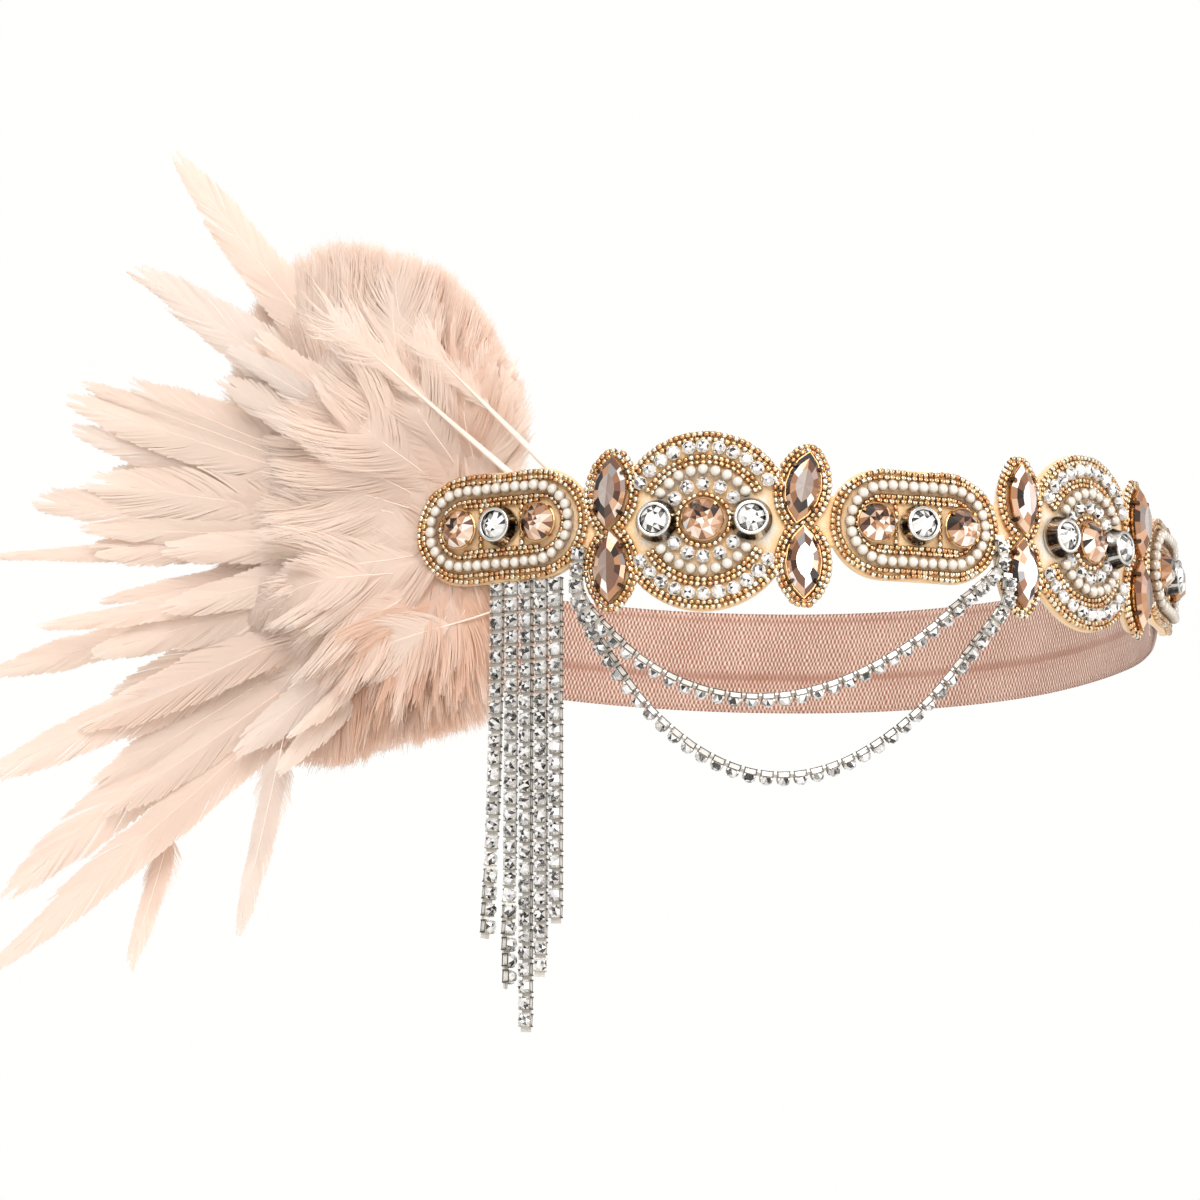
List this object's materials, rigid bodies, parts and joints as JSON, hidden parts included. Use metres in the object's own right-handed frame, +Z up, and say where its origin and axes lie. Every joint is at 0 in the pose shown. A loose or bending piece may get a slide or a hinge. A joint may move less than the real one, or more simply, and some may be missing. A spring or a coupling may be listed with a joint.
{
  "type": "feather headpiece",
  "caption": "Elastic headband with a beaded, stone-set front strip, a side plume of blush feathers, a crystal chain fringe and chain swags.",
  "frame": {"origin": "centre of the head ring, in the plane of the band's middle line", "axes": "+Z up out of the crown, -Y to the front of the wearer, +X along the band away from the plume"},
  "size_m": [0.2343, 0.1756, 0.1781],
  "materials": {
    "elastic": "blush pink woven elastic with lengthwise ribs",
    "felt": "cream felt",
    "feather": "blush hackle feathers with soft down",
    "champagne_stone": "foil-backed champagne stone in a metal setting",
    "crystal_bezel": "antique silver bezel with a clear foil-backed stone",
    "pearl": "ivory pearl lustre",
    "crystal": "small clear foil-backed stones in silver cups",
    "cup_chain": "bright silver cup chain set with clear stones"
  },
  "bodies": {
    "root": {"backing": "felt", "bezel_oval_a": "crystal_bezel", "bezel_oval_b": "crystal_bezel", "bezel_oval_c": "crystal_bezel", "bezel_round_a_left": "crystal_bezel", "bezel_round_a_right": "crystal_bezel", "bezel_round_b_left": "crystal_bezel", "bezel_round_b_right": "crystal_bezel", "crystals_inner_round_a_bottom": "crystal", "crystals_inner_round_a_top": "crystal", "crystals_inner_round_b_bottom": "crystal", "crystals_inner_round_b_top": "crystal", "crystals_outer_round_a_bottom": "crystal", "crystals_outer_round_a_top": "crystal", "crystals_outer_round_b_bottom": "crystal", "crystals_outer_round_b_top": "crystal", "elastic_band": "elastic", "feather_plume": "feather", "fringe_1": "cup_chain", "fringe_2": "cup_chain", "fringe_3": "cup_chain", "fringe_4": "cup_chain", "fringe_5": "cup_chain", "navette_a_bottom": "champagne_stone", "navette_a_top": "champagne_stone", "navette_b_bottom": "champagne_stone", "navette_b_top": "champagne_stone", "navette_c_bottom": "champagne_stone", "navette_c_top": "champagne_stone", "navette_d_bottom": "champagne_stone", "navette_d_top": "champagne_stone", "pearls_oval_a": "pearl", "pearls_oval_b": "pearl", "pearls_oval_c": "pearl", "pearls_round_a_bottom": "pearl", "pearls_round_a_top": "pearl", "pearls_round_b_bottom": "pearl", "pearls_round_b_top": "pearl", "stone_oval_a_left": "champagne_stone", "stone_oval_a_right": "champagne_stone", "stone_oval_b_left": "champagne_stone", "stone_oval_b_right": "champagne_stone", "stone_oval_c_left": "champagne_stone", "stone_oval_c_right": "champagne_stone", "stone_round_a": "champagne_stone", "stone_round_b": "champagne_stone", "swag_lower": "cup_chain", "swag_upper": "cup_chain"}
  },
  "joints": []
}
